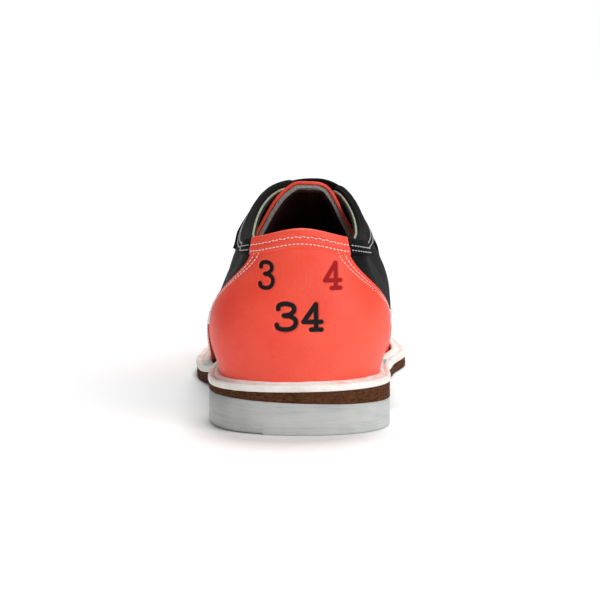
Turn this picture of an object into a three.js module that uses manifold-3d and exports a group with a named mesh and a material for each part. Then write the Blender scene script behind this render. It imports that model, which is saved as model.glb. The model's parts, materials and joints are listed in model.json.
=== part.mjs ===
// A left-foot bowling shoe with two hook-and-loop straps, in millimetres.
// +Z is up, +Y runs from heel to toe, and +X is the medial (inner) side.
// The origin is under the middle of the sole, on the floor.
//
// Every piece of the upper is a layer laid over one shape, the last. A place on the last is a
// station, which runs round the footprint from the back of the heel (0) along the medial side to
// the toe tip (10), and along the lateral side with a minus sign; and a rise, from the footprint's
// edge (0) up to the crest of the foot (1).
import * as THREE from "three";
import { mergeVertices } from "three/addons/utils/BufferGeometryUtils.js";
import Module from "manifold-3d";

const wasm = await Module();
wasm.setup();
const { clamp, lerp, smoothstep } = THREE.MathUtils;

// Overall sizes of the last, which scale the station table below.
const LAST_LENGTH = 221;
const LAST_WIDTH = 67.5;
const INSTEP_HEIGHT = 70;
const BACK_HEIGHT = 49;

// Bottom unit.
const HEEL_HEIGHT = 10.4;
const HEEL_LENGTH = 57;
const HEEL_INSET = 0.4;
const SOLE_THICKNESS = 3.5;
const WELT_THICKNESS = 3.2;
const FILLER_THICKNESS = 1.8;
const BOARD_THICKNESS = 2;
const SOCK_THICKNESS = 2.6;
const TOE_SPRING = 7;
const TOE_CURVE = { length: 70, power: 1.8 };
const BALL_START = 132;
const BALL_END = 166;
const SHANK = { from: 44, to: 122, width: 12, thickness: 1.2 };
const NAIL = { radius: 0.9, headRadius: 2.1, headHeight: 0.8, length: 9.5 };
const NAIL_PLACES = [[0, 14], [-15, 26], [17, 26], [-14, 44], [17, 44]];

// Layers of the upper.
const GAP = 0.3;
const LINING_THICKNESS = 0.7;
const STIFFENER_THICKNESS = 0.7;
const LEATHER_THICKNESS = 1.3;
const OVERLAY_THICKNESS = 0.9;
const PATCH_THICKNESS = 0.7;
const STRAP_THICKNESS = 1.5;
const TONGUE_LAYERS = { face: 1, padding: 1.3, lining: 0.8 };
const TONGUE_CLEARANCE = 1;

const LINING = [0, LINING_THICKNESS];
const STIFFENER = above(LINING, STIFFENER_THICKNESS);
const LEATHER = above(STIFFENER, LEATHER_THICKNESS);
const OVERLAY = above(LEATHER, OVERLAY_THICKNESS);
const LOOP = above(LEATHER, PATCH_THICKNESS);
const HOOK = above(OVERLAY, PATCH_THICKNESS);
const STRAP = above(HOOK, STRAP_THICKNESS);
const TONGUE_FACE = [-TONGUE_CLEARANCE - TONGUE_LAYERS.face, -TONGUE_CLEARANCE];
const TONGUE_PADDING = below(TONGUE_FACE, TONGUE_LAYERS.padding);
const TONGUE_LINING = below(TONGUE_PADDING, TONGUE_LAYERS.lining);

function above(layer, thickness) {
  return [layer[1] + GAP, layer[1] + GAP + thickness];
}
function below(layer, thickness) {
  return [layer[0] - GAP - thickness, layer[0] - GAP];
}

// Pattern lines of the upper, as stations and lengths.
const THROAT_HALF_WIDTH = 7;
const THROAT_BEND = 0.12;
const VAMP_STATION = 6.45;
const COUNTER_STATION = 3.35;
const COUNTER_TOP = { medial: 1.02, lateral: 1.13 };
const STRIPE = { from: 3.5, to: 6.3, rearHeight: 32, frontHeight: 24, width: 8 };
const STRAPS = [
  { name: "upper", from: 4.97, to: 5.52, root: 45, tip: 50, baseWidth: 7, patchWidth: 10 },
  { name: "lower", from: 5.78, to: 6.24, root: 38, tip: 41, baseWidth: 6, patchWidth: 8 },
];
const TONGUE = { top: 4.62, end: 6.62, topReach: 0.92, endReach: 0.5, lift: 0.4 };
const STRAP_SINK = { flanks: 0.63, crest: 1.2 };

// The last, from the back of the heel to the toe tip. Each row holds the footprint's medial x and
// y and its lateral x and y, the crest's x, y and z, how far the side swells beyond the footprint
// (medial and lateral), how full the section is (medial and lateral), the height of the topline
// above the floor, and how far the sole reaches beyond the footprint.
const REFERENCE = { length: 221, width: 67.5, instep: 70, back: 49 };
const STATIONS = [
  [1, 6, 1, 6, 1.5, 44, 88, 0.07, 0.08, 3, 3, 65.5, 6],
  [14.6, 10, -13, 10, 1.6, 46, 88, 0.12, 0.13, 2.7, 2.5, 62.5, 7],
  [22, 21, -20.8, 21, 1.9, 50, 88, 0.17, 0.22, 2.3, 1.75, 60.8, 8],
  [22.4, 42, -22.5, 42, 2.4, 57, 88, 0.27, 0.23, 2, 1.6, 60.4, 8.2],
  [23.4, 72, -20.5, 72, 3.5, 76, 86, 0.34, 0.17, 2.15, 2.05, 62.6, 8.2],
  [24, 110, -22.5, 106, 5.5, 106, 71.6, 0.32, 0.14, 2.4, 2.55, 78, 8.6],
  [27, 147, -28.5, 134, 7, 139, 51.5, 0.2, 0.1, 2.3, 2.35, 90, 9.6],
  [32.4, 174, -29.4, 160, 6.5, 164, 42, 0.1, 0.08, 2.3, 2.3, 90, 9.8],
  [29.8, 197, -25.5, 189, 5.5, 186, 35, 0.08, 0.08, 2.3, 2.3, 90, 9.2],
  [20.5, 216, -13.5, 213, 4.5, 200, 31.5, 0.07, 0.08, 2.3, 2.3, 90, 9],
  [3.5, 227, 3.5, 227, 4, 206, 30, 0.07, 0.07, 2.3, 2.3, 90, 9],
];
// The share of the crest's height at which the side's swell ends: low at the heel, and higher where
// the waist begins.
const SWELL_TOP = { heel: 0.6, waist: 0.9, from: 55, to: 95 };
const LENGTHWISE = LAST_LENGTH / REFERENCE.length;
const CROSSWISE = LAST_WIDTH / REFERENCE.width;
const TOE = STATIONS.length - 1;

// Where the sole's underside runs: level over the heel, down through the waist to the floor under
// the ball, and up again at the toe.
function soleLine(y) {
  const down = (HEEL_HEIGHT + GAP) * (1 - smoothstep(y, HEEL_LENGTH + 1, BALL_START * LENGTHWISE));
  const ahead = Math.max(0, y - BALL_END * LENGTHWISE) / (TOE_CURVE.length * LENGTHWISE);
  return down + TOE_SPRING * ahead ** TOE_CURVE.power;
}
const seatLine = (y) => soleLine(y) + SOLE_THICKNESS + GAP;

// Heights above the floor are rescaled above the heel seat, so the sole keeps its own thickness.
function raise(height, y, share) {
  const seat = seatLine(y);
  return seat + (height - seat) * share;
}
function ring(pick) {
  const medial = STATIONS.map((row) => pick(row, 0));
  const lateral = STATIONS.slice(1, TOE).map((row) => pick(row, 1)).reverse();
  return new THREE.CatmullRomCurve3([...medial, ...lateral], true, "catmullrom", 0.5);
}
const footprint = ring((row, side) =>
  new THREE.Vector3(row[2 * side] * CROSSWISE, row[1 + 2 * side] * LENGTHWISE, row[7 + side]));
const crest = ring((row) => {
  const y = row[5] * LENGTHWISE;
  return new THREE.Vector3(row[4] * CROSSWISE, y, raise(row[6], y, INSTEP_HEIGHT / REFERENCE.instep));
});
const trim = ring((row, side) => {
  const y = row[1 + 2 * side] * LENGTHWISE;
  return new THREE.Vector3(row[9 + side], raise(row[11], y, BACK_HEIGHT / REFERENCE.back), row[12]);
});
const turn = (station) => THREE.MathUtils.euclideanModulo(station, 2 * TOE) / (2 * TOE);

// The last's own surface. A rise past 1 comes down on the other side of the crest.
function lastPoint(station, rise) {
  if (rise > 1) return lastPoint(-station, 2 - rise);
  const edge = footprint.getPoint(turn(station));
  const top = crest.getPoint(turn(station));
  const fullness = trim.getPoint(turn(station)).x;
  const power = 2 / fullness;
  const angle = (rise ** (fullness / 2) * Math.PI) / 2;
  const height = Math.sin(angle) ** power;
  const onWaist = smoothstep(edge.y / LENGTHWISE, SWELL_TOP.from, SWELL_TOP.to);
  const swellTop = lerp(SWELL_TOP.heel, SWELL_TOP.waist, onWaist);
  const swell = edge.z * Math.sin(Math.PI * Math.min(height / swellTop, 1)) ** 2;
  const reach = Math.cos(angle) ** power * (1 + swell);
  const seat = seatLine(edge.y);
  return new THREE.Vector3(
    lerp(top.x, edge.x, reach), lerp(top.y, edge.y, reach), lerp(seat, top.z, height));
}
function lastNormal(station, rise) {
  const step = 0.02;
  const low = Math.max(0, rise - step);
  const along = lastPoint(station + step, rise).sub(lastPoint(station - step, rise));
  const up = lastPoint(station, rise + step).sub(lastPoint(station, low));
  const normal = along.cross(up);
  const pole = rise > 0.97 && Math.abs(Math.abs(station) - TOE) < 0.05;
  if (pole) return new THREE.Vector3(0, 0.25, 1).normalize();
  normal.normalize();
  normal.z *= smoothstep(rise, 0, 0.15);
  return normal.normalize();
}
function layerPoint(station, rise, offset) {
  const base = lastPoint(station, rise);
  const place = base.clone().addScaledVector(lastNormal(station, rise), offset);
  place.z += (seatLine(place.y) - seatLine(base.y)) * (1 - Math.min(rise, 1));
  return place;
}

// The rise at a height above the floor, and at a distance from the crest, which is in millimetres
// or a share of the way to the footprint's edge.
function riseAtHeight(station, height) {
  const seat = seatLine(footprint.getPoint(turn(station)).y);
  const share = clamp((height - seat) / (crest.getPoint(turn(station)).z - seat), 0, 1);
  const power = 2 / trim.getPoint(turn(station)).x;
  return ((Math.asin(share ** (1 / power)) * 2) / Math.PI) ** power;
}
function riseAtWidth(station, width) {
  const reach = crest.getPoint(turn(station)).sub(footprint.getPoint(turn(station)));
  return riseAtReach(station, clamp(width / Math.hypot(reach.x, reach.y), 0, 1));
}
function riseAtReach(station, share) {
  const power = 2 / trim.getPoint(turn(station)).x;
  return ((Math.acos(share ** (1 / power)) * 2) / Math.PI) ** power;
}
// The upper's top edge: the topline round the ankle, running in a bend into the throat's edge.
function topRise(station) {
  const topline = riseAtHeight(station, trim.getPoint(turn(station)).y);
  const throat = riseAtWidth(station, THROAT_HALF_WIDTH);
  const overlap = Math.max(0, 1 - Math.abs(topline - throat) / THROAT_BEND);
  return Math.min(topline, throat) - (overlap ** 2 * THROAT_BEND) / 4;
}
// 1 on the crest of the foot, falling to 0 where a layer lies on the sides.
const crestShare = (station, rise) => {
  const beside = riseAtWidth(station, THROAT_HALF_WIDTH);
  return smoothstep(rise > 1 ? 2 - rise : rise, beside, 1);
};
// How much rise a length in millimetres takes up at a place.
function riseOf(length, station, rise) {
  const step = 0.02;
  return (length * step) / lastPoint(station, rise).distanceTo(lastPoint(station, rise - step));
}

// Closed geometry from vertices and faces: corners that meet are merged and empty faces dropped.
function closed(vertices, faces) {
  const soup = new THREE.BufferGeometry();
  const corners = faces.flat().flatMap((i) => vertices[i].toArray());
  soup.setAttribute("position", new THREE.Float32BufferAttribute(corners, 3));
  const merged = mergeVertices(soup, 1e-3);
  const index = merged.index.array;
  const kept = [];
  for (let i = 0; i < index.length; i += 3) {
    const [a, b, c] = index.slice(i, i + 3);
    if (a !== b && b !== c && c !== a) kept.push(a, b, c);
  }
  return merged.setIndex(kept);
}
const quad = (a, b, c, d) => [[a, b, c], [a, c, d]];

// A block of columns by rows by two layers. place(column, row, layer) gives each corner, with the
// outer layer (1) lying along column x row. A zipped block's last column folds onto itself.
function block(columns, rows, place, zipped = false) {
  const vertices = [];
  for (const layer of [0, 1])
    for (let i = 0; i <= columns; i++)
      for (let j = 0; j <= rows; j++) vertices.push(place(i / columns, j / rows, layer));
  const at = (layer, i, j) => (layer * (columns + 1) + i) * (rows + 1) + j;
  const faces = [];
  for (let i = 0; i < columns; i++)
    for (let j = 0; j < rows; j++) {
      faces.push(...quad(at(1, i, j), at(1, i + 1, j), at(1, i + 1, j + 1), at(1, i, j + 1)));
      faces.push(...quad(at(0, i, j), at(0, i, j + 1), at(0, i + 1, j + 1), at(0, i + 1, j)));
    }
  for (let i = 0; i < columns; i++) {
    faces.push(...quad(at(0, i, 0), at(0, i + 1, 0), at(1, i + 1, 0), at(1, i, 0)));
    faces.push(...quad(at(1, i, rows), at(1, i + 1, rows), at(0, i + 1, rows), at(0, i, rows)));
  }
  for (let j = 0; j < rows; j++) {
    faces.push(...quad(at(0, 0, j + 1), at(0, 0, j), at(1, 0, j), at(1, 0, j + 1)));
    if (zipped) continue;
    const end = columns;
    faces.push(...quad(at(0, end, j), at(0, end, j + 1), at(1, end, j + 1), at(1, end, j)));
  }
  return closed(vertices, faces);
}

// A piece of the upper on one side: its stations run between two edges, its rises from low to high.
function panel(columns, rows, layer, { from, to, low = () => 0, high = topRise }) {
  return block(columns, rows, (p, q, side) => {
    const station = lerp(from(q), to(q), p);
    return layerPoint(station, lerp(low(station), high(station), q), layer[side]);
  });
}
const level = () => 0;
// A piece that crosses the crest, from a rise on the medial side to a rise on the lateral side.
// Its lift, if any, moves it outward place by place.
function arch(columns, rows, layer, { from, to, medial, lateral = medial, lift = level }, zipped = false) {
  return block(columns, rows, (p, q, side) => {
    const station = lerp(from, to, p);
    const rise = lerp(medial(station), 2 - lateral(station), q);
    const place = rise > 1 ? [-station, 2 - rise] : [station, rise];
    return layerPoint(...place, layer[side] + lift(...place));
  }, zipped);
}
// A point of the outline that lies a margin outside the footprint.
function outline(station, margin) {
  const edge = footprint.getPoint(turn(station));
  const along = footprint.getPoint(turn(station + 0.02)).sub(footprint.getPoint(turn(station - 0.02)));
  along.z = 0;
  along.normalize();
  return new THREE.Vector2(edge.x + along.y * margin, edge.y - along.x * margin);
}
const soleMargin = (station) => trim.getPoint(turn(station)).z;

// A flat-lying layer of the bottom, between two heights that follow the sole's line.
function slab(columns, from, to, margin, low, high) {
  return block(columns, 1, (p, q, side) => {
    const station = lerp(from, to, p) * (q ? -1 : 1);
    const place = outline(station, margin(station));
    return new THREE.Vector3(place.x, place.y, (side ? high : low)(place.y));
  });
}
// A strip along the waist, level across.
function strip(from, to, centre, width, low, high) {
  return block(10, 1, (p, q, side) => {
    const y = lerp(from, to, p);
    return new THREE.Vector3(centre + width * (0.5 - q), y, (side ? high : low)(y));
  });
}

function solid(geometry) {
  const bare = geometry.clone();
  bare.deleteAttribute("normal");
  bare.deleteAttribute("uv");
  const merged = mergeVertices(bare, 1e-3);
  return new wasm.Manifold(new wasm.Mesh({
    numProp: 3,
    vertProperties: new Float32Array(merged.attributes.position.array),
    triVerts: new Uint32Array(merged.index.array),
  }));
}
function cut(geometry, tools) {
  const left = tools.reduce((body, tool) => body.subtract(solid(tool)), solid(geometry)).getMesh();
  const result = new THREE.BufferGeometry();
  result.setAttribute("position", new THREE.BufferAttribute(left.vertProperties, 3));
  return result.setIndex(new THREE.BufferAttribute(left.triVerts, 1));
}

const finishes = {
  coral: [0xf2604e, 0.5],
  black: [0x141416, 0.55],
  webbing: [0x101012, 0.8],
  lining: [0x2b2a2a, 0.9],
  stripe: [0xe9ebf2, 0.45],
  rubber: [0xcfd1ce, 0.6],
  soleLeather: [0x6d4630, 0.85],
  board: [0xb89b78, 0.9],
  felt: [0x9b958f, 0.95],
  backing: [0xb9c4a8, 0.9],
  steel: [0x9a9da1, 0.35, 1],
};
const shoe = new THREE.Group();
function add(name, finish, geometry) {
  const [color, roughness, metalness = 0] = finishes[finish];
  geometry.computeVertexNormals();
  const mesh = new THREE.Mesh(geometry, new THREE.MeshStandardMaterial({ color, roughness, metalness }));
  mesh.name = name;
  shoe.add(mesh);
}

// Heel nails, driven down through the leather sole into the heel.
const nailTop = HEEL_HEIGHT + GAP + SOLE_THICKNESS;
function nail(x, y, slack) {
  const { radius, headRadius, headHeight, length } = NAIL;
  const tip = nailTop - length - slack;
  const neck = nailTop - headHeight - GAP - slack;
  const top = slack ? nailTop + 1 : nailTop - GAP;
  const profile = [[0, tip], [radius + slack, tip], [radius + slack, neck], [headRadius + slack, neck],
    [headRadius + slack, top], [0, top]].map(([r, z]) => new THREE.Vector2(r, z));
  return closedLathe(profile).translate(x * CROSSWISE, y * LENGTHWISE, 0);
}
function closedLathe(profile) {
  const lathe = new THREE.LatheGeometry(profile, 10).rotateX(Math.PI / 2).toNonIndexed();
  const points = [];
  for (let i = 0; i < lathe.attributes.position.count; i++)
    points.push(new THREE.Vector3().fromBufferAttribute(lathe.attributes.position, i));
  const faces = [];
  for (let i = 0; i < points.length; i += 3) faces.push([i, i + 1, i + 2]);
  return closed(points, faces);
}
const nailHoles = NAIL_PLACES.map(([x, y]) => nail(x, y, GAP));

// Bottom unit: heel, leather sole, welt, filler with the steel shank let into it, and insole.
const heelStation = stationAt(HEEL_LENGTH);
function stationAt(y) {
  let station = 0;
  while (footprint.getPoint(turn(station)).y < y) station += 0.01;
  return station;
}
const onSole = (height) => (y) => soleLine(y) + SOLE_THICKNESS + height;
const heelMargin = (station) => soleMargin(station) - HEEL_INSET;
const heel = block(18, 1, (p, q, side) => {
  const station = heelStation * p * (q ? -1 : 1);
  const place = outline(station, heelMargin(station));
  return new THREE.Vector3(place.x, Math.min(place.y, HEEL_LENGTH), side ? HEEL_HEIGHT : 0);
});
add("heel_block", "rubber", cut(heel, nailHoles));
add("leather_sole", "soleLeather", cut(slab(56, 0, TOE, soleMargin, soleLine, onSole(0)), nailHoles));
NAIL_PLACES.forEach(([x, y], i) => add(`heel_nail_${i + 1}`, "steel", nail(x, y, 0)));

const weltInside = OVERLAY[1] + 0.9;
const weltGeometry = (() => {
  const steps = 72;
  const section = (station) => {
    const corners = [[soleMargin(station), 0], [soleMargin(station), 1], [weltInside, 1], [weltInside, 0]];
    return corners.map(([margin, level]) => {
      const place = outline(station, margin);
      return new THREE.Vector3(place.x, place.y, onSole(GAP + level * WELT_THICKNESS)(place.y));
    });
  };
  const vertices = [];
  const faces = [];
  for (let i = 0; i < steps; i++) vertices.push(...section((2 * TOE * i) / steps));
  for (let i = 0; i < steps; i++)
    for (let j = 0; j < 4; j++) {
      const [a, b] = [4 * i, 4 * ((i + 1) % steps)];
      const k = (j + 1) % 4;
      faces.push(...quad(a + j, b + j, b + k, a + k));
    }
  return closed(vertices, faces);
})();
add("welt", "rubber", weltGeometry);

const inside = (margin) => () => -margin;
const fillerTop = GAP + FILLER_THICKNESS;
const boardTop = fillerTop + GAP + BOARD_THICKNESS;
const sockTop = boardTop + GAP + SOCK_THICKNESS;
const shankCentre = 3 * CROSSWISE;
const shankFrom = SHANK.from * LENGTHWISE;
const shankTo = SHANK.to * LENGTHWISE;
const shankSlot = strip(
  shankFrom - 0.5, shankTo + 0.5, shankCentre, SHANK.width + 1, onSole(0), onSole(fillerTop + 1));
add("bottom_filler", "board", cut(slab(40, 0, TOE, inside(1.2), onSole(GAP), onSole(fillerTop)), [shankSlot]));
add("shank", "steel",
  strip(shankFrom, shankTo, shankCentre, SHANK.width, onSole(GAP), onSole(GAP + SHANK.thickness)));
add("insole_board", "board", slab(40, 0, TOE, inside(0.6), onSole(fillerTop + GAP), onSole(boardTop)));
add("sock_liner", "felt", slab(40, 0, TOE, inside(0.5), onSole(boardTop + GAP), onSole(sockTop)));

// Linings and stiffeners, which the leather covers.
const vampLine = (q) => VAMP_STATION - 0.25 * Math.sin((q * Math.PI) / 2);
const liningEnd = VAMP_STATION - 0.3;
add("quarter_lining", "lining", panel(44, 17, LINING, { from: () => -liningEnd, to: () => liningEnd }));
add("vamp_lining", "lining", arch(11, 22, LINING, { from: liningEnd + 0.03, to: TOE, medial: () => 0 }, true));
const stiffenerTop = (station) => topRise(station) * 0.78;
add("counter_stiffener", "board",
  panel(24, 9, STIFFENER, { from: () => -3.7, to: () => 3.7, high: stiffenerTop }));
add("toe_puff", "board", arch(6, 22, STIFFENER, { from: 8.1, to: TOE, medial: () => 0 }, true));
const paddingEnd = 3.95;
add("collar_padding", "backing", panel(26, 3, STIFFENER, {
  from: () => -paddingEnd,
  to: () => paddingEnd,
  low: (station) => topRise(station) * 0.8,
}));

// Leather upper: two quarters that meet at the back, and the vamp over the toe.
const seam = 0.02;
add("quarter_medial", "black", panel(25, 15, LEATHER, { from: () => seam, to: vampLine }));
add("quarter_lateral", "black", panel(25, 15, LEATHER, { from: (q) => -vampLine(q), to: () => -seam }));
const vampEdge = (q) => vampLine(1 - Math.abs(1 - 2 * q)) + 0.04;
add("vamp", "coral", block(12, 22, (p, q, side) => {
  const station = lerp(vampEdge(q), TOE, p);
  const rise = 2 * q;
  return layerPoint(rise > 1 ? -station : station, rise > 1 ? 2 - rise : rise, LEATHER[side]);
}, true));

// Heel foxing over the back of both quarters, and the binding over its top edge.
const foxingEdge = (top) => (q) => lerp(COUNTER_STATION, top, smoothstep(q, 0.22, 0.92));
add("heel_foxing", "coral", panel(26, 15, OVERLAY, {
  from: (q) => -foxingEdge(COUNTER_TOP.lateral)(q),
  to: foxingEdge(COUNTER_TOP.medial),
}));
add("heel_binding", "coral", panel(14, 1, [LINING[0], OVERLAY[1]], {
  from: () => -COUNTER_TOP.lateral,
  to: () => COUNTER_TOP.medial,
  low: (station) => topRise(station) + riseOf(GAP, station, topRise(station)),
  high: (station) => topRise(station) + riseOf(1.5, station, topRise(station)),
}));

// Facings: black webbing along the topline and down both sides of the throat.
const facingWidth = (station) =>
  lerp(lerp(4.6, 5.5, smoothstep(station, 1, 3)), 11, smoothstep(station, 3, 5));
const facingLow = (station) =>
  topRise(station) - riseOf(facingWidth(Math.abs(station)), station, topRise(station));
for (const [name, side] of [["medial", 1], ["lateral", -1]]) {
  const rear = COUNTER_TOP[name] + 0.14;
  const front = VAMP_STATION - 0.3;
  add(`facing_${name}`, "webbing", panel(24, 5, OVERLAY, {
    from: () => (side > 0 ? rear : -front),
    to: () => (side > 0 ? front : -rear),
    low: facingLow,
  }));
}

// White stripe along each side, from the heel foxing to the vamp.
for (const [name, side] of [["medial", 1], ["lateral", -1]]) {
  const middle = (station) =>
    lerp(STRIPE.rearHeight, STRIPE.frontHeight,
      smoothstep(Math.abs(station), STRIPE.from - 0.5, STRIPE.to + 0.5));
  add(`side_stripe_${name}`, "stripe", panel(12, 3, OVERLAY, {
    from: () => (side > 0 ? STRIPE.from : -STRIPE.to),
    to: () => (side > 0 ? STRIPE.to : -STRIPE.from),
    low: (station) => riseAtHeight(station, middle(station) - STRIPE.width / 2),
    high: (station) => riseAtHeight(station, middle(station) + STRIPE.width / 2),
  }));
}

// Straps: each is sewn down at its medial base, crosses the tongue, and closes on the lateral side
// with a hook patch under its tip and a loop patch on the quarter.
for (const { name, from, to, root, tip, baseWidth, patchWidth } of STRAPS) {
  const edge = (station) => riseAtHeight(station, station > 0 ? root : tip);
  const beyond = (distance) => (station) =>
    edge(station) + riseOf(distance, station, edge(station));
  const lift = (station, rise) => {
    const flank = smoothstep(rise, beyond(patchWidth)(station), riseAtWidth(station, THROAT_HALF_WIDTH));
    return -STRAP_SINK.flanks * flank - STRAP_SINK.crest * crestShare(station, rise);
  };
  const opposite = (station) => edge(-station);
  add(`strap_${name}`, "webbing", arch(4, 18, STRAP, { from, to, medial: edge, lateral: opposite, lift }));
  add(`strap_base_${name}`, "webbing", panel(4, 2, [OVERLAY[0], STRAP[1]], {
    from: () => from,
    to: () => to,
    low: beyond(-baseWidth),
    high: beyond(-STRAP_THICKNESS - GAP),
  }));
  const patch = (layer, low, high) => panel(4, 4, layer, {
    from: () => -(to - 0.05),
    to: () => -(from + 0.05),
    low: beyond(low),
    high: beyond(high),
  });
  add(`hook_patch_${name}`, "webbing", patch(HOOK, 1, patchWidth - 1));
  add(`loop_patch_${name}`, "webbing", patch(LOOP, 0, patchWidth));
}

// Tongue: black face, grey padding, dark lining, and a coral binding along its top edge.
const tongueSide = (station) => riseAtReach(Math.abs(station),
  lerp(TONGUE.topReach, TONGUE.endReach, smoothstep(Math.abs(station), TONGUE.top, TONGUE.end)));
const tongueLift = (station, rise) => TONGUE.lift * crestShare(station, rise)
  * (1 - smoothstep(Math.abs(station), VAMP_STATION - 0.9, VAMP_STATION - 0.5));
const tongueSpan = { from: TONGUE.top, to: TONGUE.end, medial: tongueSide, lift: tongueLift };
add("tongue_face", "black", arch(9, 24, TONGUE_FACE, tongueSpan));
add("tongue_padding", "felt", arch(9, 24, TONGUE_PADDING, tongueSpan));
add("tongue_lining", "lining", arch(9, 24, TONGUE_LINING, tongueSpan));
add("tongue_binding", "coral", arch(1, 24, [TONGUE_LINING[0], TONGUE_FACE[1]], {
  ...tongueSpan,
  from: TONGUE.top - 0.09,
  to: TONGUE.top - 0.015,
}));

// The origin is under the middle of the whole shoe.
const bounds = new THREE.Box3().setFromObject(shoe);
const middle = bounds.getCenter(new THREE.Vector3());
shoe.position.set(-middle.x, -middle.y, 0);

export default shoe;
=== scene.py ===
import json
import math

import bmesh
import bpy
import numpy as np
from mathutils import Matrix, Vector


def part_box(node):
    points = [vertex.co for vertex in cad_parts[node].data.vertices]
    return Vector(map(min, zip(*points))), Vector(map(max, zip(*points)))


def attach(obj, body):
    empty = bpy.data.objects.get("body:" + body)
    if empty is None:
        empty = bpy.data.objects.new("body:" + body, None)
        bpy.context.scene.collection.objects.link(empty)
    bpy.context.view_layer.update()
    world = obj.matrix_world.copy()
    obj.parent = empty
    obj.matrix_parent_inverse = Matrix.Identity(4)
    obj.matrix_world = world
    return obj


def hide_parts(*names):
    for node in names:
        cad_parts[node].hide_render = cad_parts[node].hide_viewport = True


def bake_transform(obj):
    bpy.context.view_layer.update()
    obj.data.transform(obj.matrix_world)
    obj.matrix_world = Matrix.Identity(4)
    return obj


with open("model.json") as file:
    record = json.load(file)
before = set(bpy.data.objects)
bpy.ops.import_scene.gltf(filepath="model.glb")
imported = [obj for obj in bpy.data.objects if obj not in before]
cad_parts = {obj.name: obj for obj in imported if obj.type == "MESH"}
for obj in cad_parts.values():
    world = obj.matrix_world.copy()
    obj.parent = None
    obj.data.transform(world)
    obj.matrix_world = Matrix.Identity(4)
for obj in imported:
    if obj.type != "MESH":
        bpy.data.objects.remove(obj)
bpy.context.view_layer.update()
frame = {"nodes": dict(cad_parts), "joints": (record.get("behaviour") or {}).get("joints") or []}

# Camera: a long lens straight behind the heel and a little above it. Its place is measured from
# the foot of the heel, so the heel keeps its spot in the picture.
heel_low, heel_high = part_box("heel_block")
DISTANCE = 0.800
ELEVATION = math.radians(6.2)
LENS = 146.9
FAR_CLIP = 20
HEEL_ON_FRAME = Vector((-0.0002, -0.0444))

back = Vector((0, -math.cos(ELEVATION), math.sin(ELEVATION)))
right = Vector((1, 0, 0))
up = back.cross(right)
heel_foot = Vector(((heel_low.x + heel_high.x) / 2, heel_low.y, 0))
camera = bpy.data.objects.new("camera", bpy.data.cameras.new("camera"))
camera.data.lens = LENS
camera.data.clip_end = FAR_CLIP
camera.matrix_world = Matrix((right, up, back)).transposed().to_4x4()
camera.location = heel_foot + back * DISTANCE - right * HEEL_ON_FRAME.x - up * HEEL_ON_FRAME.y
bpy.context.scene.collection.objects.link(camera)
bpy.context.scene.camera = camera
bpy.context.scene.view_settings.view_transform = "Standard"


MM = 0.001


# The last: the foot shape that the shoe is built round. A place on it is a station round the
# footprint, from the back of the heel (0) along the medial side to the toe (10) and along the
# lateral side with a minus sign, and a rise from the footprint's edge (0) to the crest (1).
# A row holds the medial and the lateral edge's x and y, the crest's x, y and z, the swell and the
# fullness of both sides, the topline's height and how far the sole stands out, in millimetres.
STATIONS = np.array([
    [1, 6, 1, 6, 1.5, 44, 88, 0.07, 0.08, 3, 3, 65.5, 6],
    [14.6, 10, -13, 10, 1.6, 46, 88, 0.12, 0.13, 2.7, 2.5, 62.5, 7],
    [22, 21, -20.8, 21, 1.9, 50, 88, 0.17, 0.22, 2.3, 1.75, 60.8, 8],
    [22.4, 42, -22.5, 42, 2.4, 57, 88, 0.27, 0.23, 2, 1.6, 60.4, 8.2],
    [23.4, 72, -20.5, 72, 3.5, 76, 86, 0.34, 0.17, 2.15, 2.05, 62.6, 8.2],
    [24, 110, -22.5, 106, 5.5, 106, 71.6, 0.32, 0.14, 2.4, 2.55, 78, 8.6],
    [27, 147, -28.5, 134, 7, 139, 51.5, 0.2, 0.1, 2.3, 2.35, 90, 9.6],
    [32.4, 174, -29.4, 160, 6.5, 164, 42, 0.1, 0.08, 2.3, 2.3, 90, 9.8],
    [29.8, 197, -25.5, 189, 5.5, 186, 35, 0.08, 0.08, 2.3, 2.3, 90, 9.2],
    [20.5, 216, -13.5, 213, 4.5, 200, 31.5, 0.07, 0.08, 2.3, 2.3, 90, 9],
    [3.5, 227, 3.5, 227, 4, 206, 30, 0.07, 0.07, 2.3, 2.3, 90, 9],
])
TOE = len(STATIONS) - 1
RING = np.vstack([
    STATIONS[:, [0, 1, 7, 9, 4, 5, 6, 11, 12]],
    STATIONS[1:-1, [2, 3, 8, 10, 4, 5, 6, 11, 12]][::-1],
])
SEAT = 3.8
HEEL_LIFT = 10.7


def smooth(value, low, high):
    share = np.clip((value - low) / (high - low), 0, 1)
    return share * share * (3 - 2 * share)


def blend(low, high, share):
    return low + (high - low) * share


def ring(station):
    """The row of sizes at a station, on a smooth curve through the table's rows."""
    place = np.mod(np.asarray(station, float), 2 * TOE)
    index = np.floor(place).astype(int)
    t = (place - index)[..., None]
    before, here, after, beyond = (RING[(index + k) % (2 * TOE)] for k in (-1, 0, 1, 2))
    leave, arrive = (after - before) / 2, (beyond - here) / 2
    return (here + leave * t + (3 * (after - here) - 2 * leave - arrive) * t**2
            + (2 * (here - after) + leave + arrive) * t**3)


def sole_line(y):
    """Height of the sole's underside, from the heel seat down to the ball and up at the toe."""
    ahead = np.maximum(0, y - 166) / 70
    return HEEL_LIFT * (1 - smooth(y, 58, 132)) + 7 * ahead**1.8


def outline(station, margin):
    """A point a margin outside the footprint, as x and y."""
    row = ring(station)
    along = ring(np.asarray(station) + 0.02)[..., :2] - ring(np.asarray(station) - 0.02)[..., :2]
    along /= np.linalg.norm(along, axis=-1, keepdims=True)
    return row[..., 0] + along[..., 1] * margin, row[..., 1] - along[..., 0] * margin


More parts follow.
